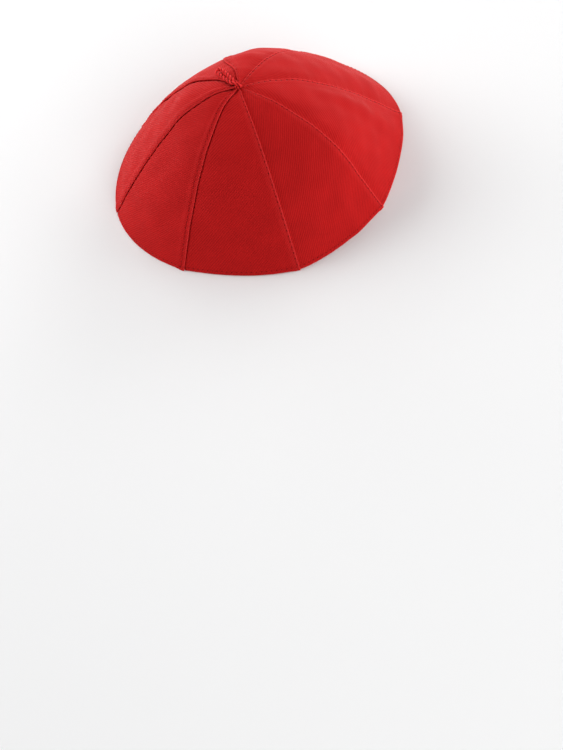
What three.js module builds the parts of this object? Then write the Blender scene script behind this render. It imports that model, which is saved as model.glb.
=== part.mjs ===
// A skullcap of eight sewn cloth gores with a loop of twisted cord at its crown, standing on its rim.
// Millimetres, +Z up. The origin is on the surface under the rim, below the middle of the cap.
// The wearer's face is towards -Y and the wearer's left side is towards +X.
import * as THREE from "three";

const { clamp, degToRad, lerp, smoothstep } = THREE.MathUtils;

// Overall form
const FRONT_TO_BACK = 176; // across the rim
const SIDE_TO_SIDE = 164; // across the rim
const HEIGHT = 65; // from the rim to the crown
const CROWN_EYE = 2.6; // radius of the small hole where the gores meet
const LEAN = { x: -0.5, y: 1 }; // how far the soft crown leans from the middle of the dome
const LEAN_ENDS = 0.45; // the share of the way to the rim where that has faded out
const MIDDLE = { x: 0.4, y: 0.5 }; // the dome's middle, which puts the origin under the middle of the rim's box

// Cloth
const WALL = 1.6; // stout twill
const RIM_WALL = 1.9; // the same wall where the level rim cuts it at a slant
const HEM = 0.7; // extra thickness of the turned-in hem, on the inside
const HEM_TOP = 0.92; // where the hem starts, as a share of the way from the crown to the rim
const HEM_STEP = 0.015; // over which it thickens

// Seams: each gore's leading edge is folded under and lies raised over the next gore's trailing edge
const SEAM_GAP = 0.3; // between neighbouring gores
const SEAM_LIFT = 0.7; // height of the folded band
const BAND = 5; // its width
const BAND_FADE = 3; // over which it sinks back into the gore
const FOLD = 0.8; // width of the rounded fold at its edge
const FOLD_DROP = 0.4; // how far the fold rounds down
const TUCK = 0.4; // how far the trailing edge dips under the fold
const TUCK_WIDTH = 1.6;
const CROWN_TAPER = 16; // the bands narrow towards the crown where a gore is not much wider than this
const BAND_START = 0.14; // the share of the way to the rim where the band has its full height

// The gores in order round the cap, counter-clockwise from above. A row also shapes its trailing seam.
//   turn      how far the seam strays from its even place, in degrees
//   reach     how far the rim strays from the oval there
//   fullness  exponent of the fall from crown to rim along the seam: more is a squarer shoulder
//   flat      how far the rim across the gore is drawn from the oval (0) to a straight line (1)
const FIRST_SEAM = 67.5; // degrees, where the back gore starts
const GORES = [
  { name: "gore_back", turn: 0.5, reach: 0.5, fullness: 2.1, flat: 0 },
  { name: "gore_back_right", turn: -1.5, reach: -2, fullness: 2.3, flat: 0.4 },
  { name: "gore_right", turn: -0.5, reach: 2, fullness: 2.05, flat: 0.2 },
  { name: "gore_front_right", turn: -2.5, reach: -0.5, fullness: 2.4, flat: 0.5 },
  { name: "gore_front", turn: 2, reach: 0.5, fullness: 1.75, flat: 0 },
  { name: "gore_front_left", turn: 2, reach: 0, fullness: 2.05, flat: 0.25 },
  { name: "gore_left", turn: 0.5, reach: 0, fullness: 1.85, flat: 0.15 },
  { name: "gore_back_left", turn: 0, reach: -0.5, fullness: 2.05, flat: 0.1 },
];
const GORE_TURN = 360 / GORES.length;

// Swells (+) and hollows (-) of the soft crown.
//   azimuth, spread  where they are round the cap and how wide, in degrees
//   out, length      where they are on the way from the crown (0) to the rim (1) and how long
//   lift             their height at the middle
const SWELLS = [
  { azimuth: 50, spread: 40, out: 0.34, length: 0.14, lift: 2.3 },
  { azimuth: 50, spread: 40, out: 0.66, length: 0.16, lift: -0.6 },
  { azimuth: 315, spread: 25, out: 0.45, length: 0.25, lift: 2.4 },
  { azimuth: 200, spread: 27, out: 0.68, length: 0.18, lift: 3 },
  { azimuth: 112, spread: 22, out: 0.78, length: 0.2, lift: -0.7 },
];
const RIM_GRIP = 12; // how sharply the level rim stops swells and bands from lifting it

// Cord loop: two legs out of the crown's eye, twisted together, then open in a narrow eye
const CORD = 2; // diameter
const CORD_SIDES = 8;
const CORD_STEPS = 46;
const LEG_HALF_GAP = 1.1; // half the distance between the legs where they are twisted
const LOOP_HALF_GAP = 1.65; // and in the open eye
const LOOP_OPENS = 0.5; // the share of the loop's line where the twist ends
const LOOP_TIP = 0.955; // and where its tip starts to close
const LOOP_TWIST = 246; // degrees over the twisted stretch
const LOOP_AZIMUTH = -2; // degrees, the way the loop lies
const LEG_POINTS = 24;
// The line midway between the legs: out from the crown, aside from that way, and up from the rim's plane
const LOOP_LINE = [
  { out: -0.2, aside: 0, up: 62.8 },
  { out: 0, aside: 0.2, up: 64.6 },
  { out: 1, aside: 0.8, up: 66.7 },
  { out: 4, aside: 1.2, up: 66.9 },
  { out: 8, aside: 1.2, up: 66.2 },
  { out: 13, aside: 0.8, up: 65.1 },
  { out: 21.2, aside: 0, up: 63 },
];

// Facets
const DOME_ROWS = 12; // from the crown's eye to the hem
const MIDDLE_COLUMNS = 5; // between the two seams' own columns

const CLOTH_RED = 0xb0181b;
const CORD_RED = 0xb51b1f;
const CLOTH_ROUGHNESS = 0.85;

const angleBetween = (a, b) => ((((a - b + 180) % 360) + 360) % 360) - 180;

// Direction of the seam that starts a gore, in radians; the count goes on past the last gore
function seamAngle(index) {
  return degToRad(FIRST_SEAM + GORE_TURN * index + GORES[index % GORES.length].turn);
}

// Distance from the middle to the rim's plain oval
function oval(angle) {
  const side = SIDE_TO_SIDE / 2;
  const front = FRONT_TO_BACK / 2;
  return (side * front) / Math.hypot(front * Math.cos(angle), side * Math.sin(angle));
}

// The dome's sizes in one direction: across a gore from its trailing seam (0) to its leading seam (1)
function section(index, across, out) {
  const from = GORES[index];
  const to = GORES[(index + 1) % GORES.length];
  const start = seamAngle(index);
  const turn = seamAngle(index + 1) - start;
  const angle = start + turn * across;
  const ease = smoothstep(across, 0, 1);
  const chord = Math.cos(turn / 2) / Math.cos(turn * (across - 0.5));
  const flattened = 1 - from.flat * (1 - chord) * out;
  const reach = (oval(angle) + lerp(from.reach, to.reach, ease)) * flattened;
  return { angle, turn, reach, fullness: lerp(from.fullness, to.fullness, ease) };
}

function swell(angle, out) {
  const azimuth = (angle * 180) / Math.PI;
  const heights = SWELLS.map((row) => {
    const aside = angleBetween(azimuth, row.azimuth) / row.spread;
    const along = (out - row.out) / row.length;
    return row.lift * Math.exp(-(aside ** 2) - along ** 2);
  });
  return heights.reduce((sum, height) => sum + height, 0);
}

// A point of the cloth: `lift` above the dome's outer face, on the `depth` deep dome inside it
function clothPoint(index, across, out, lift, depth, rimDepth) {
  const { angle, reach, fullness } = section(index, across, out);
  const slope = (HEIGHT * fullness * out ** (fullness - 1)) / reach;
  const tilt = Math.atan(slope);
  const rise = lift + swell(angle, out);
  const radius = (reach - rimDepth) * out + rise * Math.sin(tilt);
  const up = (HEIGHT - depth) * (1 - out ** fullness) + rise * Math.cos(tilt) * (1 - out ** RIM_GRIP);
  const lean = 1 - smoothstep(out, 0, LEAN_ENDS);
  return new THREE.Vector3(
    radius * Math.cos(angle) + LEAN.x * lean,
    radius * Math.sin(angle) + LEAN.y * lean,
    up,
  );
}

// Height of the folded band and the tucked edge over the plain gore, by distance from the two seams
function seamRelief(toLeading, toTrailing) {
  const band = SEAM_LIFT * (1 - smoothstep(toLeading, BAND, BAND + BAND_FADE));
  const fold = FOLD_DROP * (1 - smoothstep(toLeading, 0, FOLD));
  const tuck = TUCK * (1 - smoothstep(toTrailing, 0, TUCK_WIDTH));
  return band - fold - tuck;
}

// Closed solid through rings of points that all have the same count, with strips for its two ends
function loft(rings) {
  const count = rings[0].length;
  const faces = [];
  const at = (ring, point) => ring * count + (point % count);
  for (let ring = 0; ring < rings.length - 1; ring += 1) {
    for (let point = 0; point < count; point += 1) {
      faces.push(at(ring, point), at(ring + 1, point), at(ring + 1, point + 1));
      faces.push(at(ring, point), at(ring + 1, point + 1), at(ring, point + 1));
    }
  }
  const last = rings.length - 1;
  for (let point = 0; point < count / 2 - 1; point += 1) {
    const facing = count - 1 - point;
    faces.push(at(0, point), at(0, point + 1), at(0, facing));
    faces.push(at(0, point + 1), at(0, facing - 1), at(0, facing));
    faces.push(at(last, point), at(last, facing), at(last, point + 1));
    faces.push(at(last, point + 1), at(last, facing), at(last, facing - 1));
  }
  const geometry = new THREE.BufferGeometry().setFromPoints(rings.flat());
  geometry.setIndex(faces);
  geometry.computeVertexNormals();
  return geometry;
}

// Places across a gore of that width, with columns at the tuck, the band and the fold
function columnPlaces(width) {
  const share = (distance) => distance / (width + CROWN_TAPER);
  const first = share(TUCK_WIDTH);
  const last = 1 - share(BAND + BAND_FADE);
  const middle = Array.from({ length: MIDDLE_COLUMNS }, (_, column) =>
    lerp(first, last, (column + 1) / (MIDDLE_COLUMNS + 1)));
  return [0, first, ...middle, last, 1 - share(BAND), 1 - share(FOLD), 1];
}

// One row of a gore as a ring: along its outer face and back along its inner one
function goreRing(index, out) {
  const { turn, reach } = section(index, 0.5, out);
  const width = turn * reach * out;
  const gap = SEAM_GAP / width;
  const bandHeight = smoothstep(out, 0, BAND_START);
  const hem = HEM * smoothstep(out, HEM_TOP, HEM_TOP + HEM_STEP);
  const outer = [];
  const inner = [];
  for (const place of columnPlaces(width)) {
    const across = lerp(gap / 2, 1 - gap / 2, place);
    const scale = width + CROWN_TAPER;
    const relief = bandHeight * seamRelief((1 - place) * scale, place * scale);
    outer.push(clothPoint(index, across, out, relief, 0, 0));
    inner.push(clothPoint(index, across, out, 0, WALL, RIM_WALL + hem));
  }
  return [...outer, ...inner.reverse()];
}

function goreGeometry(index) {
  const eye = CROWN_EYE / (SIDE_TO_SIDE / 2);
  const rows = Array.from({ length: DOME_ROWS + 1 }, (_, row) => lerp(eye, HEM_TOP, row / DOME_ROWS));
  rows.push(HEM_TOP + HEM_STEP, 1);
  return loft(rows.map((out) => goreRing(index, out)));
}

// A point of the loop's cord, a share of the way along its line, on the leg of that sign
function loopPoint(line, share, sign) {
  const middle = line.getPoint(share);
  const along = line.getTangent(share);
  const aside = new THREE.Vector3(-Math.sin(degToRad(LOOP_AZIMUTH)), Math.cos(degToRad(LOOP_AZIMUTH)), 0);
  const above = new THREE.Vector3().crossVectors(along, aside);
  const twist = degToRad(LOOP_TWIST) * clamp(1 - share / LOOP_OPENS, 0, 1);
  const opening = smoothstep(share, LOOP_OPENS, LOOP_TIP);
  const closing = clamp((share - LOOP_TIP) / (1 - LOOP_TIP), 0, 1);
  const half = sign * lerp(LEG_HALF_GAP, LOOP_HALF_GAP, opening) * Math.sqrt(1 - closing ** 2);
  return middle.addScaledVector(aside, half * Math.cos(twist)).addScaledVector(above, half * Math.sin(twist));
}

function loopGeometry() {
  const azimuth = degToRad(LOOP_AZIMUTH);
  const line = new THREE.CatmullRomCurve3(
    LOOP_LINE.map(({ out, aside, up }) =>
      new THREE.Vector3(out, aside, up).applyAxisAngle(new THREE.Vector3(0, 0, 1), azimuth),
    ),
  );
  const shares = Array.from({ length: LEG_POINTS }, (_, point) => point / LEG_POINTS);
  const there = shares.map((share) => loopPoint(line, share, 1));
  const back = shares.map((share) => loopPoint(line, share, -1)).reverse();
  const route = new THREE.CatmullRomCurve3([...there, loopPoint(line, 1, 1), ...back]);
  const section = new THREE.Shape(
    Array.from({ length: CORD_SIDES }, (_, side) => {
      const angle = (2 * Math.PI * side) / CORD_SIDES;
      return new THREE.Vector2((CORD / 2) * Math.cos(angle), (CORD / 2) * Math.sin(angle));
    }),
  );
  return new THREE.ExtrudeGeometry(section, { steps: CORD_STEPS, bevelEnabled: false, extrudePath: route });
}

function piece(name, geometry, color) {
  const material = new THREE.MeshStandardMaterial({ color, roughness: CLOTH_ROUGHNESS, metalness: 0 });
  const mesh = new THREE.Mesh(geometry, material);
  mesh.name = name;
  return mesh;
}

const cap = new THREE.Group();
cap.position.set(MIDDLE.x, MIDDLE.y, 0);
GORES.forEach((gore, index) => cap.add(piece(gore.name, goreGeometry(index), CLOTH_RED)));
const loop = piece("top_loop", loopGeometry(), CORD_RED);
loop.position.set(LEAN.x, LEAN.y, 0);
cap.add(loop);

export default cap;
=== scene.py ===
# A red skullcap of eight sewn twill gores with a loop of twisted cord at its crown, on a pale floor.
# Tables and formulas are in millimetres and degrees, as in the part's source; meshes are made in metres.
import functools
import math

import bpy
import numpy as np
from mathutils import Matrix, Vector


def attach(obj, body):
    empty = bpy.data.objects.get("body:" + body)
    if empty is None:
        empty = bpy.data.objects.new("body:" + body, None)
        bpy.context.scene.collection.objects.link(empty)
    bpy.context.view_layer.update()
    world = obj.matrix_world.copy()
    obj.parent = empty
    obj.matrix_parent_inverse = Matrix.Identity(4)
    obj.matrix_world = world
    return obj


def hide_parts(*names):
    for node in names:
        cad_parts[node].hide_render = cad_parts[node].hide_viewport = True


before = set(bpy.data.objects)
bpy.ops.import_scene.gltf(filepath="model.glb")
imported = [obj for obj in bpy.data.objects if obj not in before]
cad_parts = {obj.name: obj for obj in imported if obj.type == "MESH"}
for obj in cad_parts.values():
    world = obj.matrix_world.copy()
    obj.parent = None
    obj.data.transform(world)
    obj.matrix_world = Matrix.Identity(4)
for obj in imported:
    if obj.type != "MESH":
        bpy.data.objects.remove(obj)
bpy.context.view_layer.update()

MM = 0.001

# Overall form, as the solids have it apart from the crown's eye
FRONT_TO_BACK = 176  # across the rim
SIDE_TO_SIDE = 164  # across the rim
HEIGHT = 65  # from the rim to the crown
CROWN_EYE = 1.3  # radius of the small hole where the gores meet, drawn in round the cord
EYE_OUT = CROWN_EYE / (SIDE_TO_SIDE / 2)  # where the cloth starts, as a share of the way to the rim
LEAN = (-0.5, 1)  # how far the soft crown leans from the middle of the dome
LEAN_ENDS = 0.45  # the share of the way to the rim where that has faded out
MIDDLE = (0.4, 0.5)  # the dome's middle

# Cloth
WALL = 1.6  # stout twill
RIM_WALL = 1.9  # the same wall where the level rim cuts it at a slant
HEM = 0.7  # extra thickness of the turned-in hem, on the inside
HEM_TOP = 0.92  # where the hem starts, as a share of the way from the crown to the rim
HEM_STEP = 0.015  # over which it thickens
HEM_FLARE = 0.6  # how far the folded hem stands out at the rim
HEM_FLARE_ENDS = 8  # from the rim, where that has faded out
RIM_ROUND = 0.7  # height of the rounded fold along the rim
EYE_ROUND = 0.6  # and of the cloth's end at the crown's eye
HEM_TURNED = 8  # cloth turned in for the hem

# Seams: each gore's leading edge is folded under and lies raised over the next gore's trailing edge
LAP = 3  # how far the trailing edge runs on under the fold
FOLDED_UNDER = 3  # cloth of the leading edge that is folded under
BAND = 4  # width of the folded band where it stands up
BAND_FADE = 4  # over which it sinks back into the gore
LAP_CLEARANCE = 0.1  # between the band and the cloth below it
LAP_FADE = (0.3, 1.5)  # past the lap, between which the band's underside drops to the wall's inner face
DIP_ABOVE = 0.9  # how deep the dip under a fold gets before the cloth's inner face sinks with it
DIP_WAVE = 0.15  # share of a dip's depth that comes and goes with the stitches
# Towards the crown, where a gore is not much wider than these
CROWN_TAPER = 12  # its band narrows
STITCH_TAPER = 4  # its stitches draw in to the fold
DIP_TAPER = 1.5  # the dip beside its neighbour's fold narrows
CROWN_DEEPER = 1.1  # how much deeper the dips get at the crown, where the seams are gathered
CROWN_WIDER = 0.9  # and how much wider
CROWN_ENDS = 0.12  # the share of the way to the rim where that has faded out
GATHER_ENDS = 0.38  # and where the raised folds have sunk to their usual height
BAND_STARTS = (-0.06, 0.08)  # the shares of the way to the rim between which the band rises

# The gores in order round the cap, counter-clockwise from above. A row also shapes its trailing seam.
#   turn      how far the seam strays from its even place, in degrees
#   reach     how far the rim strays from the oval there
#   fullness  exponent of the fall from crown to rim along the seam: more is a squarer shoulder
#   flat      how far the rim across the gore is drawn from the oval (0) to a straight line (1)
FIRST_SEAM = 67.5  # degrees, where the back gore starts
GORES = [
    dict(name="gore_back", turn=0.5, reach=0.5, fullness=2.1, flat=0),
    dict(name="gore_back_right", turn=-1.5, reach=-2, fullness=2.3, flat=0.4),
    dict(name="gore_right", turn=-0.5, reach=2, fullness=2.05, flat=0.2),
    dict(name="gore_front_right", turn=-2.5, reach=-0.5, fullness=2.4, flat=0.5),
    dict(name="gore_front", turn=2, reach=0.5, fullness=1.75, flat=0),
    dict(name="gore_front_left", turn=2, reach=0, fullness=2.05, flat=0.25),
    dict(name="gore_left", turn=0.5, reach=0, fullness=1.85, flat=0.15),
    dict(name="gore_back_left", turn=0, reach=-0.5, fullness=2.05, flat=0.1),
]

# The gores' trailing seams in the same order.
#   fold    radius of the folded edge that lies over the seam
#   lift    how far that edge stands up
#   gather  how much more it stands up at the crown
#   sewn    how far in from it its stitches run
#   groove  how deep the cloth under it dips
#   dip     how wide that dip is
#   valley  how deep the seam lies between the fuller gores
#   hole    half width of a needle hole with its dint
#   wear_and_highlight  how far from the fold's edge the cloth is rubbed pale and brightened by painted
#   highlight
SEAMS = [
    dict(fold=0.6, lift=0.42, gather=0, sewn=1, groove=1, dip=2.1, valley=0, hole=0.22, wear_and_highlight=0.3),
    dict(fold=0.36, lift=0.42, gather=0, sewn=2.4, groove=0.65, dip=1.4, valley=0.25, hole=0.4, wear_and_highlight=0.25),
    dict(fold=0.28, lift=0.12, gather=0.35, sewn=1.15, groove=0.4, dip=4, valley=0.3, hole=0.44, wear_and_highlight=0.9),
    dict(fold=0.28, lift=0.12, gather=0.35, sewn=1.15, groove=0.5, dip=6, valley=0.3, hole=0.44, wear_and_highlight=0.9),
    dict(fold=0.28, lift=0.12, gather=0.35, sewn=1.25, groove=0.45, dip=6, valley=0.2, hole=0.7, wear_and_highlight=0.9),
    dict(fold=0.28, lift=0.12, gather=0.35, sewn=1.25, groove=0.4, dip=4, valley=0.3, hole=0.7, wear_and_highlight=0.9),
    dict(fold=0.45, lift=0.42, gather=0, sewn=1.2, groove=0.7, dip=1.6, valley=0, hole=0.22, wear_and_highlight=0.3),
    dict(fold=0.5, lift=0.42, gather=0, sewn=1, groove=1.2, dip=2.8, valley=0, hole=0.22, wear_and_highlight=0.3),
]
VALLEY_REACH = 5.5  # over which the cloth rises from such a valley
VALLEY_SHAPE = 1.4  # exponent of that rise
GORE_TURN = 360 / len(GORES)

# Swells (+) and hollows (-) of the soft crown.
#   azimuth, spread   where it lies round the crown, and its half width, in degrees
#   out, length       how far out it lies, and its half length, as shares of the way to the rim
#   lift              its height
SWELLS = [
    dict(azimuth=50, spread=40, out=0.34, length=0.14, lift=2.3),
    dict(azimuth=50, spread=40, out=0.7, length=0.18, lift=-1.2),
    dict(azimuth=323, spread=20, out=0.43, length=0.25, lift=1.7),
    dict(azimuth=200, spread=27, out=0.68, length=0.18, lift=3),
    dict(azimuth=112, spread=22, out=0.78, length=0.2, lift=-0.7),
    dict(azimuth=318, spread=16, out=0.36, length=0.045, lift=0.8),
    dict(azimuth=232, spread=24, out=0.66, length=0.24, lift=1.8),
    dict(azimuth=237, spread=6, out=0.74, length=0.22, lift=1.5),
    dict(azimuth=250, spread=6, out=0.76, length=0.2, lift=-0.9),
    dict(azimuth=185, spread=4, out=0.93, length=0.12, lift=0.7),
    dict(azimuth=262, spread=7, out=0.85, length=0.12, lift=1.6),
    dict(azimuth=65, spread=50, out=0.15, length=0.1, lift=1.9),
    dict(azimuth=253, spread=20, out=0.36, length=0.15, lift=1.1),
]
# Places where the soft cloth is drawn round the crown, with the same columns and
#   turn              by how many degrees it is drawn
DRIFTS = [
    dict(azimuth=338, spread=18, out=0.13, length=0.13, turn=-6),
    dict(azimuth=338, spread=18, out=0.36, length=0.12, turn=3),
    dict(azimuth=111, spread=18, out=0.18, length=0.12, turn=-3),
    dict(azimuth=22, spread=16, out=0.11, length=0.13, turn=-4.5),
]
RIM_GRIP = 12  # how sharply the level rim stops swells and bands from lifting it

# Faint unevenness of pressed cloth: waves in random directions
RUMPLE_SEED = 5
RUMPLE_WAVES = 14
RUMPLE_LENGTHS = (11, 34)  # shortest and longest wave
RUMPLE_HEIGHT = 0.075  # of each wave

# Stitching along each folded band and along the hem
STITCH = 3.3  # pitch of the seam stitches
HEM_STITCH = 2.8
HEM_STITCH_IN = 2.4  # from the rim
STITCH_SINK = 0.3  # how deep the thread pulls the cloth in, as a share of a needle hole's half width
HEM_STITCH_SINK = 0.02
STITCH_SPREAD = 0.7  # half width of that furrow
FURROW_WAVE = 0.25  # share of the furrow's depth that comes and goes with the stitches
PUCKER = 0.07  # height of the ripples that the stitches draw up beside the seam
PUCKER_REACH = 7
PUCKER_SHIFT = 1.3  # radians by which the ripples of one seam are out of step with the last one's
HEM_BEFORE = 0.1  # how far a gore's hem line is followed past its trailing seam, as a share of its width
THREAD = 0.17  # radius
THREAD_DIP = 0.3  # how far the thread's ends go into the cloth
THREAD_ARCH = 0.38  # and how far its middle rises over them
THREAD_END = 0.7  # how thick those ends are, as a share of the middle
TACK = 0.24  # radius of the thread knot where a seam ends on the rim
TACK_LENGTH = 1.1
TACK_IN = 1.6  # from the rim
TACK_END = 0.05  # how small its section gets at its ends, as a share of its middle's
TACK_SHAPE = 4  # exponent of that: more is a blunter end

# Mesh spacing
ROW_STEP = 0.55
TRAILING_COLUMNS = 16
TRAILING_STRIP = 3  # the stretch beside the trailing seam that has close columns
MIDDLE_COLUMNS = 28
BAND_COLUMNS = 7
EDGE_COLUMNS = 11
EDGE = 3.5  # the stretch beside the fold that has the closest columns
FOLD_TURNS = np.radians((72, 54, 37, 22, 9))  # round the fold, from its top to its edge
END_TURNS = np.radians((20, 40, 60, 80))  # round the open ends of the wall
SEAM_SAMPLES = 500  # points that measure a seam's stitch line
HEM_SAMPLES = 300  # a gore's hem line
ROW_SAMPLES = 600  # the middle of a gore
CORD_SAMPLES = 2000  # and the cord's route
THREAD_POINTS = 9  # along one stitch
THREAD_SIDES = 6
TACK_POINTS = 7
TACK_SIDES = 8

# Cord loop: two legs out of the crown's eye, twisted together, then open in a narrow eye
LEG_HALF_GAP = 1.1  # half the distance between the legs where they are twisted
LOOP_HALF_GAP = 1.65  # and in the open eye
LOOP_OPENS = 0.5  # the share of the loop's line where the twist ends
LOOP_TIP = 0.955  # and where its tip starts to close
LOOP_TWIST = 246  # degrees over the twisted stretch
LOOP_AZIMUTH = -2  # degrees, the way the loop lies
LEG_POINTS = 64  # along each leg
SMALL_SHARE = 1e-4  # of the loop's line, the step that gives its direction
# The line midway between the legs: out from the crown, aside from that way, and up from the rim's plane
LOOP_LINE = [
    dict(out=-0.2, aside=0, up=62.8),
    dict(out=0, aside=0.2, up=64.6),
    dict(out=1, aside=0.8, up=66.7),
    dict(out=4, aside=1.2, up=66.9),
    dict(out=8, aside=1.2, up=66.2),
    dict(out=13, aside=0.8, up=65.1),
    dict(out=21.2, aside=0, up=63),
]
PLIES = 2
PLY = 0.52  # radius of one ply
PLY_OFFSET = 0.56  # from the cord's own line
PLY_PITCH = 6.4  # length of one turn of the plies
PLY_SIDES = 10
CORD_STEP = 0.2
CORD_ASIDE = (0, 1, 0.3)  # off the cord's own direction where it starts
CORD_ROUNDING = 14  # passes that ease the corners of its route

# Camera: where it stands, the point on the floor that it looks at, and its roll in degrees
CAMERA = (-626.75, 328.14, 754.13)
CAMERA_AIM = (-125.4, 85.73, 0)
CAMERA_ROLL = -16
LENS = 85
SENSOR = 36
CAMERA_REACH = 50  # metres

# Soft lights round the cap, placed as seen from the camera.
#   left, behind, above   where the light stands, in metres from the cap
#   size                  side of the square, in metres
#   power                 watts
LIGHTS = [
    dict(name="light_left", left=1.15, behind=0.66, above=0.7, size=1, power=21.5),
    dict(name="light_right", left=-1.28, behind=0.34, above=0.7, size=1, power=5.5),
    dict(name="light_right_low", left=-1.38, behind=-0.5, above=0.26, size=1, power=8.5),
    dict(name="light_right_back", left=-1.13, behind=0.95, above=0.26, size=1, power=13.5),
    dict(name="light_back", left=0, behind=1.32, above=0.7, size=1, power=5),
    dict(name="light_back_low", left=0.5, behind=1.4, above=0.26, size=1, power=6),
    dict(name="light_front", left=-0.45, behind=-1.24, above=0.7, size=1, power=11.7),
]
WORLD_STRENGTH = 0.02  # light from the surround
BACKDROP = 0.95  # how pale the surround looks past the floor
FLOOR_RADIUS = 1.25  # metres, inside the ring of lights
FLOOR_SIDES = 96

# Twill
RIB = 1.16  # pitch of the diagonal ribs
RIB_RISE = 49  # degrees above level, seen from outside with the crown up
YARN = 0.55  # pitch of the yarns
RIB_WAVER = 3  # radians by which the ribs stray
# Unevenness: its scale to a millimetre, and how many finer scales it has
WAVER = dict(scale=0.08, detail=2)
GRAIN = dict(scale=1.4, detail=3)
PATCH = dict(scale=0.05, detail=2)
# How far each takes the cloth from its deep to its full red
RIB_TONE = 0.26
GRAIN_TONE = 0.5
PATCH_TONE = 0.7
TONE_START = -0.1  # without any of them
# How far each raises the cloth, in heights of a rib
GRAIN_RISE = 0.8
YARN_RISE = 0.25
HOLE_RISE = -4
RIB_HEIGHT = 0.04
CLOTH_DEEP = (0.39, 0.0052, 0.0054)
CLOTH_FULL = (0.61, 0.0100, 0.0102)
CLOTH_WORN_AND_HIGHLIT = (0.86, 0.045, 0.045)  # along the folds' edges and the rim, partly worn and partly painted highlight
# Pale bands, partly wear and partly painted highlight where the folds' edges and the rim catch the light.
#   edge         where it lies: along a fold, counted in that seam's `wear_and_highlight`, or along the rim, in millimetres
#   full, ends   how far in it has its full share, and where it has faded out
#   share        how pale it is
WEAR_AND_HIGHLIGHT = [
    dict(edge="fold", full=0.5, ends=1.2, share=0.42),
    dict(edge="fold", full=1, ends=6, share=0.13),
    dict(edge="rim", full=0.6, ends=1.6, share=0.12),
]
CLOTH_FINISH = {
    "Roughness": 0.8,
    "Specular IOR Level": 0.1,
    "Sheen Weight": 0.3,
    "Sheen Roughness": 0.3,
    "Sheen Tint": (1, 0.24, 0.23, 1),
}
# Dark red painted into the needle holes and along the stitch lines as their shade
HOLE_SHADE_RED = (0.2, 0.001, 0.001)
HOLE_FADE = (0.4, 1)  # from a hole's middle, in its half widths: where it starts to fade, and its end
LINE_FADE = (0.3, 1.5)  # the same from the stitch line, between the holes
LINE_SHADE = 0.12  # how much of that painted shade the line has there, standing in for the shade in its furrow
CROWN_HOLE = 0.3  # how wide the holes are at the crown, as a share of their full width
HOLES_FULL = 0.16  # the share of the way to the rim from where they have that width
HOLE_LENGTH = 0.75  # half length of a needle hole with its dint in a seam
HEM_HOLE = 0.34  # half width of one in the hem
HEM_HOLE_LENGTH = 0.5

# Thread and cord: fibres to a millimetre, and reds
THREAD_FIBRES = 2
THREAD_DEEP = (0.42, 0.006, 0.007)
THREAD_FULL = (0.60, 0.011, 0.012)
CORD_FIBRES = 1.4
CORD_DEEP = (0.62, 0.012, 0.013)
CORD_FULL = (0.96, 0.042, 0.042)
CORD_HOLLOW_SHADE = (0.44, 0.008, 0.009)  # painted shade between the plies
HOLLOW_SHADE_FADE = (0.45, 0.9)  # from the cord's line, as shares of the plies' reach, where that painted shade gives way
FIBRE_DETAIL = 3  # how many finer scales the fibres have
FIBRE_TONE = 0.9
FIBRE_HEIGHT = 0.12
FADING = dict(scale=0.12, detail=2)  # broad unevenness of the dye, its scale to a millimetre
FADING_TONE = 0.6
THREAD_TONE_START = -0.3  # without either of them
THREAD_FINISH = {
    "Roughness": 0.7,
    "Specular IOR Level": 0.12,
    "Sheen Weight": 0.05,
    "Sheen Roughness": 0.35,
    "Sheen Tint": (1, 0.3, 0.3, 1),
}

# Floor
FLOOR_DEEP = (0.9, 0.9, 0.905)
FLOOR_FULL = (0.93, 0.93, 0.93)
FLOOR_MOTTLE = dict(scale=3, detail=2)
FLOOR_FINISH = {"Roughness": 0.9}


def smooth(value, low, high):
    """Smooth step from 0 at low to 1 at high."""
    share = np.clip((value - low) / (high - low), 0, 1)
    return share * share * (3 - 2 * share)


def lerp(a, b, share):
    return a + (b - a) * share


def unit(vectors):
    return vectors / np.linalg.norm(vectors, axis=-1, keepdims=True)


def arc_length(points):
    """Length along a line of points up to each of them."""
    steps = np.linalg.norm(np.diff(points, axis=0), axis=1)
    return np.concatenate(([0], np.cumsum(steps)))


# The dome


def seam_angle(index):
    """Direction of the seam that starts a gore, in radians; the count goes on past the last gore."""
    return math.radians(FIRST_SEAM + GORE_TURN * index + GORES[index % len(GORES)]["turn"])


def oval(angle):
    """Distance from the middle to the rim's plain oval."""
    side = SIDE_TO_SIDE / 2
    front = FRONT_TO_BACK / 2
    return side * front / np.hypot(front * np.cos(angle), side * np.sin(angle))


def section(index, across, out):
    """Direction, reach and fullness of the dome across a gore: 0 is its trailing seam, 1 its leading one."""
    here = GORES[index]
    there = GORES[(index + 1) % len(GORES)]
    start = seam_angle(index)
    turn = seam_angle(index + 1) - start
    angle = start + turn * across
    ease = smooth(across, 0, 1)
    chord = math.cos(turn / 2) / np.cos(turn * (across - 0.5))
    flattened = 1 - here["flat"] * (1 - chord) * out
    reach = (oval(angle) + lerp(here["reach"], there["reach"], ease)) * flattened
    return angle, reach, lerp(here["fullness"], there["fullness"], ease)


def soft_shift(table, column, angle, out):
    """Sum of a table's soft bumps at that direction and share of the way to the rim."""
    total = np.zeros(np.broadcast(angle, out).shape)
    for row in table:
        aside = (np.degrees(angle) - row["azimuth"] + 180) % 360 - 180
        along = (out - row["out"]) / row["length"]
        total += row[column] * np.exp(-((aside / row["spread"]) ** 2) - along**2)
    return total


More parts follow.
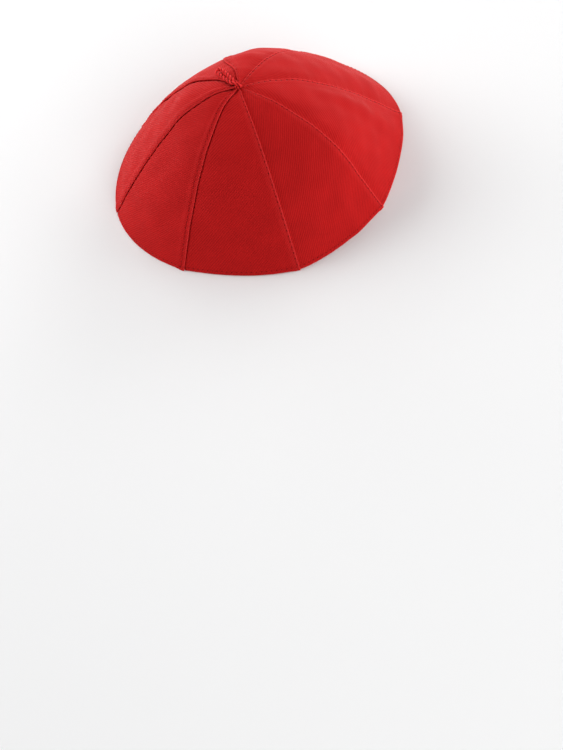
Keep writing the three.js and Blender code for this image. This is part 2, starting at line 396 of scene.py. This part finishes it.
def gore_dome(index, across, out, lift, depth):
    """Points of one gore's dome, lifted off its outer face or a share `depth` of the wall inside it."""
    angle, reach, fullness = section(index, across, out)
    tilt = np.arctan(HEIGHT * fullness * out ** (fullness - 1) / reach)
    rise = lift + soft_shift(SWELLS, "lift", angle, out)
    wall = RIM_WALL + HEM * smooth(out, HEM_TOP, HEM_TOP + HEM_STEP)
    radius = (reach - wall * depth) * out + rise * np.sin(tilt)
    up = (HEIGHT - WALL * depth) * (1 - out**fullness) + rise * np.cos(tilt) * (1 - out**RIM_GRIP)
    lean = 1 - smooth(out, 0, LEAN_ENDS)
    angle = angle + np.radians(soft_shift(DRIFTS, "turn", angle, out))
    x = radius * np.cos(angle) + LEAN[0] * lean + MIDDLE[0]
    y = radius * np.sin(angle) + LEAN[1] * lean + MIDDLE[1]
    return np.stack(np.broadcast_arrays(x, y, up), axis=-1)


def dome(index, across, out, lift, depth):
    """The same, going on under the neighbour's band where `across` is less than 0."""
    before = (index - 1) % len(GORES)
    own_turn = seam_angle(index + 1) - seam_angle(index)
    turn_before = seam_angle(before + 1) - seam_angle(before)
    own = gore_dome(index, np.maximum(across, 0), out, lift, depth)
    under = gore_dome(before, 1 + np.minimum(across, 0) * own_turn / turn_before, out, lift, depth)
    return np.where((np.asarray(across) < 0)[..., None], under, own)


def gore_width(index, out):
    _, reach, _ = section(index, 0.5, out)
    return (seam_angle(index + 1) - seam_angle(index)) * reach * out


def rumple(points):
    """Small heights of the cloth's unevenness at those points."""
    random = np.random.default_rng(RUMPLE_SEED)
    total = np.zeros(points.shape[:-1])
    for _ in range(RUMPLE_WAVES):
        way = unit(random.normal(size=3))
        length = random.uniform(*RUMPLE_LENGTHS)
        start = random.uniform(0, 2 * math.pi)
        total += RUMPLE_HEIGHT * np.sin(points @ way * 2 * math.pi / length + start)
    return total


# Seams and hem on the dome


@functools.cache
def seam_line(index):
    """Shares of the way to the rim along a gore's leading stitch line, and the length up to each."""
    out = np.linspace(EYE_OUT, 1, SEAM_SAMPLES)
    return out, arc_length(gore_dome(index, sewn_across(index, out), out, 0, 0))


@functools.cache
def hem_line(index):
    """Places across a gore along its hem stitches, and the length up to each from the trailing seam."""
    across = np.linspace(-HEM_BEFORE, 1, HEM_SAMPLES)
    line = dome(index, across, hem_out(index, across), 0, 0)
    length = arc_length(line)
    return across, length - np.interp(0, across, length)


def rim_slope(index, across):
    """Length of cloth down a gore near the rim for each share of the way to it."""
    _, reach, fullness = section(index, across, 1)
    return np.hypot(reach, HEIGHT * fullness)


def hem_out(index, across):
    return 1 - HEM_STITCH_IN / rim_slope(index, across)


def leading_seam(index):
    """A gore's leading seam, which is the next gore's trailing one."""
    return SEAMS[(index + 1) % len(SEAMS)]


def sewn_across(index, out):
    """Place across a gore of the stitches along its leading seam."""
    return 1 - leading_seam(index)["sewn"] / (gore_width(index, out) + STITCH_TAPER)


def stitch_wave(along, pitch, share):
    """A depth of 1 of which that share comes and goes once a stitch."""
    return 1 - share + share * np.cos(2 * math.pi * along / pitch)


def valley_left(distance):
    """How deep a seam's valley still is that far from it, as a share of its depth."""
    return np.exp(-((np.maximum(distance, 0) / VALLEY_REACH) ** VALLEY_SHAPE))


def surface(index, across, out):
    """How the outer face of a gore differs from the plain dome, and where it is by the seams and the hem.

    Distances from the seams shrink towards the crown, where the bands taper. `relief` is the height of the
    outer face, and `plain` the part of it that the inner face follows."""
    leading = leading_seam(index)
    trailing = SEAMS[index]
    width = gore_width(index, out)
    lead = (1 - across) * (width + CROWN_TAPER)
    near = (1 - across) * (width + STITCH_TAPER)
    trail = across * (width + DIP_TAPER)
    seam_along = np.interp(out, *seam_line(index)) + 0 * across
    near_seam_along = np.interp(out, *seam_line((index - 1) % len(GORES)))
    hem_in = (1 - out) * rim_slope(index, across)
    hem_along = np.interp(across, *hem_line(index)) + 0 * out

    fold = leading["fold"]
    rounding = fold - np.sqrt(fold**2 - np.clip(fold - lead, 0, fold) ** 2)
    lift = leading["lift"] + leading["gather"] * (1 - smooth(out, 0, GATHER_ENDS))
    band = lift * (1 - smooth(lead, BAND, BAND + BAND_FADE))
    gathered = 1 - smooth(out, 0, CROWN_ENDS)
    dip = trailing["dip"] * (1 + CROWN_WIDER * gathered)
    tuck = trailing["groove"] * (1 - smooth(trail, 0, dip))
    tuck *= 1 + CROWN_DEEPER * gathered
    tuck *= stitch_wave(near_seam_along, STITCH, DIP_WAVE)
    tuck += LAP_CLEARANCE * (trail < 0)
    from_stitches = near - leading["sewn"]
    furrow = np.exp(-((from_stitches / STITCH_SPREAD) ** 2))
    furrow *= stitch_wave(seam_along, STITCH, FURROW_WAVE)
    from_hem_stitches = hem_in - HEM_STITCH_IN
    hem_furrow = np.exp(-((from_hem_stitches / STITCH_SPREAD) ** 2))
    hem_furrow *= stitch_wave(hem_along, HEM_STITCH, FURROW_WAVE)
    ripple = np.sin(math.pi * seam_along / STITCH + PUCKER_SHIFT * index) * np.exp(-lead / PUCKER_REACH)
    ripple += np.sin(math.pi * near_seam_along / STITCH) * np.exp(-np.maximum(trail, 0) / PUCKER_REACH)

    hole = leading["hole"] * lerp(CROWN_HOLE, 1, smooth(out, 0, HOLES_FULL))
    flare = HEM_FLARE * (1 - smooth(hem_in, 0, HEM_FLARE_ENDS))
    height = smooth(out, *BAND_STARTS)
    plain = rumple(gore_dome(index, across, out, 0, 0)) + PUCKER * ripple * height
    plain -= leading["valley"] * valley_left(from_stitches)
    plain -= trailing["valley"] * valley_left(trail)
    plain *= 1 - out**RIM_GRIP
    relief = plain + height * (band - rounding - tuck - STITCH_SINK * leading["hole"] * furrow)
    relief += flare - HEM_STITCH_SINK * hem_furrow
    return dict(
        relief=relief,
        plain=plain - np.maximum(height * tuck - DIP_ABOVE, 0),
        height=height, rounding=rounding, lead=lead, near=near, hem_in=hem_in,
        seam=(from_stitches * width / (width + STITCH_TAPER) / hole, seam_along),
        hem=(from_hem_stitches / HEM_HOLE, hem_along),
    )


def gore_rows(index):
    """Shares of the way to the rim, evenly spaced down a gore's middle, and the length down to each."""
    last = math.sqrt(1 - RIM_ROUND / HEIGHT)  # where a dome of fullness 2 is as high as the rim's round
    out = np.linspace(EYE_OUT, last, ROW_SAMPLES)
    length = arc_length(gore_dome(index, 0.5, out, 0, 0))
    places = np.linspace(0, length[-1], int(length[-1] / ROW_STEP))
    return np.interp(places, length, out)[:, None], places[:, None]


def gore_columns(index, out):
    """Places across a gore in each row, closest where the cloth folds."""
    scale = gore_width(index, out) + CROWN_TAPER
    fold = leading_seam(index)["fold"]
    trailing = np.linspace(-LAP, TRAILING_STRIP, TRAILING_COLUMNS) / scale
    leads = np.concatenate((
        np.linspace(BAND + BAND_FADE, EDGE, BAND_COLUMNS, endpoint=False),
        np.linspace(EDGE, fold, EDGE_COLUMNS),
        fold * (1 - np.cos(FOLD_TURNS)),
    ))
    leading = 1 - leads / scale
    shares = np.linspace(0, 1, MIDDLE_COLUMNS + 2)[1:-1]
    middle = lerp(trailing[:, -1:], leading[:, :1], shares)
    return np.concatenate((trailing, middle, leading), axis=1)


# Meshes


def mesh_object(name, points, faces, material, uv_maps=()):
    """A smooth mesh from points in millimetres. uv_maps are (name, one pair of numbers for each point)."""
    mesh = bpy.data.meshes.new(name)
    mesh.from_pydata((np.asarray(points) * MM).tolist(), [], faces)
    mesh.shade_smooth()
    corners = np.zeros(len(mesh.loops), dtype=np.int32)
    mesh.loops.foreach_get("vertex_index", corners)
    for map_name, pairs in uv_maps:
        layer = mesh.uv_layers.new(name=map_name)
        layer.uv.foreach_set("vector", np.asarray(pairs, dtype=np.float32)[corners].ravel())
    mesh.materials.append(material)
    piece = bpy.data.objects.new(name, mesh)
    bpy.context.collection.objects.link(piece)
    return piece


def rounded_end(outer, inner, forward):
    """Rows of outer and inner points that close the open end of a wall in a half round."""
    middle = (outer + inner) / 2
    rows = []
    for turn in END_TURNS:
        centre = middle + forward * math.sin(turn)
        spread = math.cos(turn)
        rows.append((centre + (outer - middle) * spread, centre + (inner - middle) * spread))
    return rows


def ring_faces(rings, count):
    """Faces of a closed tube of rings of points, with strips across its flat ends."""
    ring = np.arange(rings - 1)[:, None] * count
    here = np.arange(count)[None, :]
    after = (here + 1) % count
    corners = (ring + here, ring + count + here, ring + count + after, ring + after)
    quads = np.stack(np.broadcast_arrays(*corners), -1)
    faces = quads.reshape(-1, 4).tolist()
    last = (rings - 1) * count
    for point in range(count // 2 - 1):
        facing = count - 1 - point
        faces.append([point, point + 1, facing - 1, facing])
        faces.append([last + point, last + facing, last + facing - 1, last + point + 1])
    return faces


def gore_piece(index, material):
    """One gore: a closed wall with its folded band, its tucked edge, its stitch furrows and its hem."""
    out, along = gore_rows(index)
    across = gore_columns(index, out)
    face = surface(index, across, out)
    outer = dome(index, across, out, face["relief"], 0)

    lapped = 1 - smooth(face["lead"], LAP + LAP_FADE[0], LAP + LAP_FADE[1])
    seam = leading_seam(index)
    under_lift = lapped * face["height"] * (seam["lift"] - 2 * seam["fold"] + face["rounding"])
    inner = dome(index, across, out, face["plain"] + under_lift, 1 - lapped)

    middle = (outer + inner) / 2
    down = unit(middle[-1] - middle[-2])
    to_floor = down * (-middle[-1, :, 2:] / down[:, 2:]) / math.sin(END_TURNS[-1])
    to_eye = unit(middle[0] - middle[1]) * EYE_ROUND
    rows = list(reversed(rounded_end(outer[0], inner[0], to_eye)))
    rows += list(zip(outer, inner))
    rows += rounded_end(outer[-1], inner[-1], to_floor)
    points = np.array([np.concatenate((row_outer, row_inner[::-1])) for row_outer, row_inner in rows])
    points[..., 2] = np.maximum(points[..., 2], 0)

    def on_rings(values):
        values = np.concatenate((
            np.repeat(values[:1], len(END_TURNS), axis=0), values,
            np.repeat(values[-1:], len(END_TURNS), axis=0),
        ))
        return np.concatenate((values, values[:, ::-1]), axis=1).ravel()

    width = gore_width(index, out)
    uv_maps = [
        ("weave", np.stack((on_rings((across - 0.5) * width), on_rings(along + 0 * across)), -1)),
        # distances from the fold's edge and the rim that place the pale bands of wear and painted highlight
        ("edge", np.stack((on_rings(face["near"] / seam["wear_and_highlight"]), on_rings(face["hem_in"])), -1)),
        ("seam", np.stack([on_rings(part) for part in face["seam"]], -1)),
        ("hem", np.stack([on_rings(part) for part in face["hem"]], -1)),
    ]
    name = GORES[index]["name"] + "_cloth"
    return mesh_object(name, points.reshape(-1, 3), ring_faces(*points.shape[:2]), material, uv_maps)


def gore_cut(index):
    """Width, length and area, in metres, of the flat cloth that a gore is cut to."""
    out, along = gore_rows(index)
    widths = (gore_width(index, out) + LAP + FOLDED_UNDER)[:, 0]
    along = np.append(along[:, 0], along[-1, 0] + HEM_TURNED)
    widths = np.append(widths, widths[-1])
    area = np.sum((widths[1:] + widths[:-1]) / 2 * np.diff(along))
    return float(widths[-1] * MM), float(along[-1] * MM), float(area * MM**2)


def tubes(paths, radii, sides):
    """Points and faces of round tubes along several paths, each of the same number of points."""
    paths = np.asarray(paths, dtype=float)
    count, steps = paths.shape[:2]
    along = unit(np.gradient(paths, axis=1))
    aside = unit(np.cross(along, unit(paths)))
    above = np.cross(aside, along)
    turn = np.linspace(0, 2 * math.pi, sides, endpoint=False)[:, None]
    offset = np.cos(turn) * aside[:, :, None] + np.sin(turn) * above[:, :, None]
    points = paths[:, :, None] + offset * np.broadcast_to(radii, (count, steps))[:, :, None, None]
    return points.reshape(-1, 3), tube_faces(count, steps, sides)


def tube_faces(count, steps, sides):
    faces = []
    for tube in range(count):
        first = tube * steps * sides
        for step in range(steps - 1):
            for side in range(sides):
                here = first + step * sides
                after = (side + 1) % sides
                faces.append([here + side, here + after, here + sides + after, here + sides + side])
        faces.append([first + side for side in reversed(range(sides))])
        faces.append([first + (steps - 1) * sides + side for side in range(sides)])
    return faces


# Stitches


def thread_path(line_point, start, pitch):
    """One stitch: out of the cloth at one needle hole, over it and in again at the next."""
    shares = np.linspace(0, 1, THREAD_POINTS)
    height = THREAD_ARCH * np.sin(math.pi * shares) - THREAD_DIP
    return np.array([line_point(start + pitch * share, rise) for share, rise in zip(shares, height)])


def seam_stitch_paths(index):
    outs, lengths = seam_line(index)

    def at(length, height):
        out = np.interp(length, lengths, outs)
        across = sewn_across(index, out)
        return gore_dome(index, across, out, surface(index, across, out)["relief"] + height, 0)

    count = int((lengths[-1] - HEM_STITCH_IN / 2) / STITCH)
    return [thread_path(at, STITCH * number, STITCH) for number in range(1, count)]


def hem_stitch_paths(index):
    places, lengths = hem_line(index)

    def at(length, height):
        across = np.interp(length, lengths, places)
        out = hem_out(index, across)
        return gore_dome(index, across, out, surface(index, across, out)["relief"] + height, 0)

    count = int(lengths[-1] / HEM_STITCH)
    return [thread_path(at, HEM_STITCH * number, HEM_STITCH) for number in range(count)]


def stitch_piece(name, paths, material):
    radii = THREAD * lerp(THREAD_END, 1, np.sin(np.linspace(0, math.pi, THREAD_POINTS)))
    points, faces = tubes(paths, radii, THREAD_SIDES)
    return mesh_object(name, points, faces, material)


def tack_piece(material):
    """The little knots of thread where the seams' folds end on the rim."""
    paths = []
    shares = np.linspace(0, 1, TACK_POINTS)
    for index in range(len(GORES)):
        across = 1 - (TACK + TACK_LENGTH * shares) / (gore_width(index, 1.0) + CROWN_TAPER)
        out = 1 - TACK_IN / rim_slope(index, across)
        paths.append(gore_dome(index, across, out, surface(index, across, out)["relief"], 0))
    radii = TACK * np.sqrt(np.clip(1 - (2 * shares - 1) ** TACK_SHAPE, TACK_END, 1))
    points, faces = tubes(paths, radii, TACK_SIDES)
    return mesh_object("seam_end_tacks", points, faces, material)


# Cord loop


def spline(points, shares):
    """Centripetal curve through the points; each stretch between two of them takes an equal share."""
    points = np.asarray(points, dtype=float)
    points = np.concatenate((2 * points[:1] - points[1:2], points, 2 * points[-1:] - points[-2:-1]))
    gaps = np.linalg.norm(np.diff(points, axis=0), axis=1) ** 0.5
    place = np.asarray(shares) * (len(points) - 3)
    stretch = np.minimum(place.astype(int), len(points) - 4)
    t = (place - stretch)[:, None]
    p0, p1, p2, p3 = (points[stretch + step] for step in range(4))
    g0, g1, g2 = (gaps[stretch + step][:, None] for step in range(3))
    leave = ((p1 - p0) / g0 - (p2 - p0) / (g0 + g1) + (p2 - p1) / g1) * g1
    arrive = ((p2 - p1) / g1 - (p3 - p1) / (g1 + g2) + (p3 - p2) / g2) * g1
    return (
        p1 + leave * t + (3 * (p2 - p1) - 2 * leave - arrive) * t**2
        + (2 * (p1 - p2) + leave + arrive) * t**3
    )


def loop_leg(sign):
    """Points of one leg of the loop, from the crown's eye to the loop's tip."""
    azimuth = math.radians(LOOP_AZIMUTH)
    onward = np.array((math.cos(azimuth), math.sin(azimuth), 0))
    aside = np.array((-math.sin(azimuth), math.cos(azimuth), 0))
    line = [row["out"] * onward + row["aside"] * aside + (0, 0, row["up"]) for row in LOOP_LINE]
    shares = np.linspace(0, 1, LEG_POINTS + 1)
    middle = spline(line, shares)
    after = spline(line, np.minimum(shares + SMALL_SHARE, 1))
    before = spline(line, np.maximum(shares - SMALL_SHARE, 0))
    along = unit(after - before)
    above = np.cross(along, aside)
    twist = math.radians(LOOP_TWIST) * np.clip(1 - shares / LOOP_OPENS, 0, 1)
    opening = smooth(shares, LOOP_OPENS, LOOP_TIP)
    closing = np.clip((shares - LOOP_TIP) / (1 - LOOP_TIP), 0, 1)
    half = sign * lerp(LEG_HALF_GAP, LOOP_HALF_GAP, opening) * np.sqrt(1 - closing**2)
    return middle + half[:, None] * (np.cos(twist)[:, None] * aside + np.sin(twist)[:, None] * above)


def cord_route():
    """Points along the cord, out on one leg and back on the other, and the length up to each."""
    knots = np.concatenate((loop_leg(1), loop_leg(-1)[-2::-1]))
    fine = spline(knots, np.linspace(0, 1, CORD_SAMPLES))
    length = arc_length(fine)
    places = np.linspace(0, length[-1], int(length[-1] / CORD_STEP))
    route = np.stack([np.interp(places, length, fine[:, axis]) for axis in range(3)], -1)
    for _ in range(CORD_ROUNDING):
        route[1:-1] = (route[:-2] + 2 * route[1:-1] + route[2:]) / 4
    return route + np.array((LEAN[0] + MIDDLE[0], LEAN[1] + MIDDLE[1], 0)), arc_length(route)


def carried_frames(route):
    """Two directions across the route at each point, carried along it without twisting."""
    along = unit(np.gradient(route, axis=0))
    aside = np.zeros_like(route)
    aside[0] = unit(np.cross(along[0], CORD_ASIDE))
    for step in range(1, len(route)):
        aside[step] = unit(aside[step - 1] - along[step] * (aside[step - 1] @ along[step]))
    return aside, np.cross(along, aside)


def cord_piece(material):
    route, places = cord_route()
    aside, above = carried_frames(route)
    paths = []
    for ply in range(PLIES):
        turn = 2 * math.pi * (places / PLY_PITCH + ply / PLIES)
        paths.append(route + PLY_OFFSET * (np.cos(turn)[:, None] * aside + np.sin(turn)[:, None] * above))
    points, faces = tubes(paths, PLY, PLY_SIDES)
    axis = np.repeat(np.tile(route, (PLIES, 1)), PLY_SIDES, axis=0)
    from_axis = np.linalg.norm(points - axis, axis=1) / (PLY + PLY_OFFSET)
    along = np.repeat(np.tile(places, PLIES), PLY_SIDES)
    uv_maps = [("ply", np.stack((from_axis, along), -1))]
    piece = mesh_object("twisted_cord_loop", points, faces, material, uv_maps)
    return piece


# Materials. A mix node keeps its two colours and its result in these places.
MIX_COLOURS = (6, 7)
MIX_RESULT = 2


def new_material(name):
    """A material, its node tree and its main shader."""
    material = bpy.data.materials.new(name)
    material.use_nodes = True
    return material, material.node_tree, material.node_tree.nodes["Principled BSDF"]


def set_finish(shader, finish):
    for name, value in finish.items():
        shader.inputs[name].default_value = value


def plug(tree, socket, source):
    """Sets a socket from a number, or links it to another node's output."""
    if isinstance(source, bpy.types.NodeSocket):
        tree.links.new(source, socket)
    else:
        socket.default_value = source


def calc(tree, operation, *sources):
    node = tree.nodes.new("ShaderNodeMath")
    node.operation = operation
    for socket, source in zip(node.inputs, sources):
        plug(tree, socket, source)
    return node.outputs[0]


def blend_colours(tree, share, low, high):
    """Colour between two others; each is an RGB triple or another node's output."""
    node = tree.nodes.new("ShaderNodeMix")
    node.data_type = "RGBA"
    plug(tree, node.inputs["Factor"], share)
    for place, colour in zip(MIX_COLOURS, (low, high)):
        opaque = colour if isinstance(colour, bpy.types.NodeSocket) else (*colour, 1)
        plug(tree, node.inputs[place], opaque)
    return node.outputs[MIX_RESULT]


def uv_map(tree, name):
    """A mesh's own coordinates of that name: the pair, and its two numbers."""
    node = tree.nodes.new("ShaderNodeUVMap")
    node.uv_map = name
    parts = tree.nodes.new("ShaderNodeSeparateXYZ")
    tree.links.new(node.outputs[0], parts.inputs[0])
    return node.outputs[0], parts.outputs[0], parts.outputs[1]


def noise(tree, vector, scale, detail):
    node = tree.nodes.new("ShaderNodeTexNoise")
    tree.links.new(vector, node.inputs["Vector"])
    node.inputs["Scale"].default_value = scale
    node.inputs["Detail"].default_value = detail
    return node.outputs["Fac"]


def step_down(tree, value, low, high):
    """1 below low, falling smoothly to 0 at high."""
    node = tree.nodes.new("ShaderNodeMapRange")
    node.interpolation_type = "SMOOTHSTEP"
    plug(tree, node.inputs["Value"], value)
    for name, number in (("From Min", low), ("From Max", high), ("To Min", 1), ("To Max", 0)):
        node.inputs[name].default_value = number
    return node.outputs[0]


def needle_hole_shade(tree, map_name, pitch, half_length):
    """Mask of painted shade: 1 in the needle holes along a stitch line, a faint painted shade on it between
    them, and 0 elsewhere.
    """
    _, from_line, along = uv_map(tree, map_name)
    from_hole = calc(tree, "DIVIDE", calc(tree, "PINGPONG", along, pitch / 2), half_length)
    squares = calc(tree, "ADD", calc(tree, "POWER", from_line, 2), calc(tree, "POWER", from_hole, 2))
    holes = step_down(tree, calc(tree, "SQRT", squares), *HOLE_FADE)
    line = step_down(tree, calc(tree, "ABSOLUTE", from_line), *LINE_FADE)
    return calc(tree, "MAXIMUM", holes, calc(tree, "MULTIPLY", line, LINE_SHADE))


def bump(tree, shader, height, distance):
    node = tree.nodes.new("ShaderNodeBump")
    tree.links.new(height, node.inputs["Height"])
    node.inputs["Distance"].default_value = distance
    tree.links.new(node.outputs["Normal"], shader.inputs["Normal"])


def twill_material():
    material, tree, shader = new_material("red twill cloth")
    place, across, along = uv_map(tree, "weave")
    rise = math.radians(RIB_RISE)
    stray = calc(tree, "MULTIPLY", noise(tree, place, **WAVER), RIB_WAVER)
    over = calc(tree, "MULTIPLY", across, math.sin(rise))
    over = calc(tree, "MULTIPLY_ADD", along, math.cos(rise), over)
    phase = calc(tree, "MULTIPLY_ADD", over, 2 * math.pi / RIB, stray)
    rib = calc(tree, "SINE", phase)
    yarn = calc(tree, "SINE", calc(tree, "MULTIPLY", along, 2 * math.pi / YARN))
    grain = noise(tree, place, **GRAIN)
    patch = noise(tree, place, **PATCH)

    tone = calc(tree, "MULTIPLY_ADD", patch, PATCH_TONE, TONE_START)
    tone = calc(tree, "MULTIPLY_ADD", grain, GRAIN_TONE, tone)
    tone = calc(tree, "MULTIPLY_ADD", rib, RIB_TONE, tone)
    colour = blend_colours(tree, tone, CLOTH_DEEP, CLOTH_FULL)
    _, from_fold, from_rim = uv_map(tree, "edge")
    from_edge = dict(fold=from_fold, rim=from_rim)
    # pale bands along the folds' edges and the rim: partly wear, partly painted highlight
    worn_and_highlit = 0
    for row in WEAR_AND_HIGHLIGHT:
        pale = step_down(tree, from_edge[row["edge"]], row["full"], row["ends"])
        worn_and_highlit = calc(tree, "MULTIPLY_ADD", pale, row["share"], worn_and_highlit)
    colour = blend_colours(tree, worn_and_highlit, colour, CLOTH_WORN_AND_HIGHLIT)
    # needle holes and the stitch lines between them darkened with painted shade; the same mask dints the
    # bump
    holes = calc(
        tree, "MAXIMUM",
        needle_hole_shade(tree, "seam", STITCH, HOLE_LENGTH),
        needle_hole_shade(tree, "hem", HEM_STITCH, HEM_HOLE_LENGTH),
    )
    colour = blend_colours(tree, holes, colour, HOLE_SHADE_RED)
    tree.links.new(colour, shader.inputs["Base Color"])

    height = calc(tree, "MULTIPLY_ADD", grain, GRAIN_RISE, rib)
    height = calc(tree, "MULTIPLY_ADD", yarn, YARN_RISE, height)
    height = calc(tree, "MULTIPLY_ADD", holes, HOLE_RISE, height)
    bump(tree, shader, height, RIB_HEIGHT * MM)
    set_finish(shader, CLOTH_FINISH)
    return material


def thread_material(name, deep, full, fibres_per_mm, hollow_shade=None):
    """Twisted thread or cord: fine fibres over two reds, and a darker red painted as shade in the hollows
    between plies.
    """
    material, tree, shader = new_material(name)
    coordinates = tree.nodes.new("ShaderNodeTexCoord").outputs["Object"]
    fibres = noise(tree, coordinates, fibres_per_mm / MM, FIBRE_DETAIL)
    fading = noise(tree, coordinates, FADING["scale"] / MM, FADING["detail"])
    tone = calc(tree, "MULTIPLY_ADD", fading, FADING_TONE, THREAD_TONE_START)
    tone = calc(tree, "MULTIPLY_ADD", fibres, FIBRE_TONE, tone)
    colour = blend_colours(tree, tone, deep, full)
    if hollow_shade:
        # painted shade in the hollows between the plies
        _, from_axis, _ = uv_map(tree, "ply")
        colour = blend_colours(tree, step_down(tree, from_axis, *HOLLOW_SHADE_FADE), colour, hollow_shade)
    tree.links.new(colour, shader.inputs["Base Color"])
    bump(tree, shader, fibres, FIBRE_HEIGHT * MM)
    set_finish(shader, THREAD_FINISH)
    return material


def floor_material():
    material, tree, shader = new_material("pale floor")
    coordinates = tree.nodes.new("ShaderNodeTexCoord").outputs["Object"]
    mottle = noise(tree, coordinates, **FLOOR_MOTTLE)
    tree.links.new(blend_colours(tree, mottle, FLOOR_DEEP, FLOOR_FULL), shader.inputs["Base Color"])
    set_finish(shader, FLOOR_FINISH)
    return material


# Stage


def camera_axes():
    """The camera's right, up and back directions."""
    back = (Vector(CAMERA) - Vector(CAMERA_AIM)).normalized()
    level = Vector((0, 0, 1)).cross(back).normalized()
    upright = back.cross(level)
    roll = math.radians(CAMERA_ROLL)
    right = level * math.cos(roll) + upright * math.sin(roll)
    return right, back.cross(right), back


def add_camera():
    data = bpy.data.cameras.new("camera")
    data.lens = LENS
    data.sensor_width = SENSOR
    data.clip_end = CAMERA_REACH
    camera = bpy.data.objects.new("camera", data)
    turn = Matrix(camera_axes()).transposed().to_4x4()
    camera.matrix_world = Matrix.Translation(Vector(CAMERA) * MM) @ turn
    bpy.context.collection.objects.link(camera)
    bpy.context.scene.camera = camera


def add_lights():
    _, _, back = camera_axes()
    behind = Vector((-back.x, -back.y, 0)).normalized()
    left = Vector((0, 0, 1)).cross(behind)
    cap = Vector((0, 0, HEIGHT / 2 * MM))
    for row in LIGHTS:
        data = bpy.data.lights.new(row["name"], "AREA")
        data.size = row["size"]
        data.energy = row["power"]
        light = bpy.data.objects.new(row["name"], data)
        place = left * row["left"] + behind * row["behind"] + Vector((0, 0, row["above"]))
        turn = place.to_track_quat("Z", "Y").to_matrix().to_4x4()
        light.matrix_world = Matrix.Translation(cap + place) @ turn
        bpy.context.collection.objects.link(light)


def add_world():
    world = bpy.data.worlds.new("pale surround")
    bpy.context.scene.world = world
    world.use_nodes = True
    tree = world.node_tree
    background = tree.nodes["Background"]
    background.inputs["Color"].default_value = (1, 1, 1, 1)
    seen = tree.nodes.new("ShaderNodeLightPath").outputs["Is Camera Ray"]
    strength = calc(tree, "MULTIPLY_ADD", seen, BACKDROP - WORLD_STRENGTH, WORLD_STRENGTH)
    tree.links.new(strength, background.inputs["Strength"])
    bpy.context.scene.view_settings.view_transform = "Standard"


def add_floor():
    turns = np.linspace(0, 2 * math.pi, FLOOR_SIDES, endpoint=False)
    edge = FLOOR_RADIUS / MM * np.stack((np.cos(turns), np.sin(turns), 0 * turns), -1)
    mesh_object("floor", edge, [list(range(FLOOR_SIDES))], floor_material())


def settle(piece, slot, *nodes):
    """Ties a piece to the cap and hides the solids that it stands for."""
    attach(piece, "root")
    if nodes:
        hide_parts(*nodes)


add_camera()
add_lights()
add_world()
add_floor()

twill = twill_material()
thread = thread_material("red sewing thread", THREAD_DEEP, THREAD_FULL, THREAD_FIBRES)
cord_red = thread_material("red twisted cord", CORD_DEEP, CORD_FULL, CORD_FIBRES, CORD_HOLLOW_SHADE)

settle(cord_piece(cord_red), "red_cord", "top_loop")
for gore_index, gore in enumerate(GORES):
    cloth = gore_piece(gore_index, twill)
    settle(cloth, "red_twill", gore["name"])
    width, length, area = gore_cut(gore_index)
seam_paths = [path for gore_index in range(len(GORES)) for path in seam_stitch_paths(gore_index)]
hem_paths = [path for gore_index in range(len(GORES)) for path in hem_stitch_paths(gore_index)]
settle(stitch_piece("seam_stitches", seam_paths, thread), "red_cord")
settle(stitch_piece("hem_stitches", hem_paths, thread), "red_cord")
settle(tack_piece(thread), "red_cord")
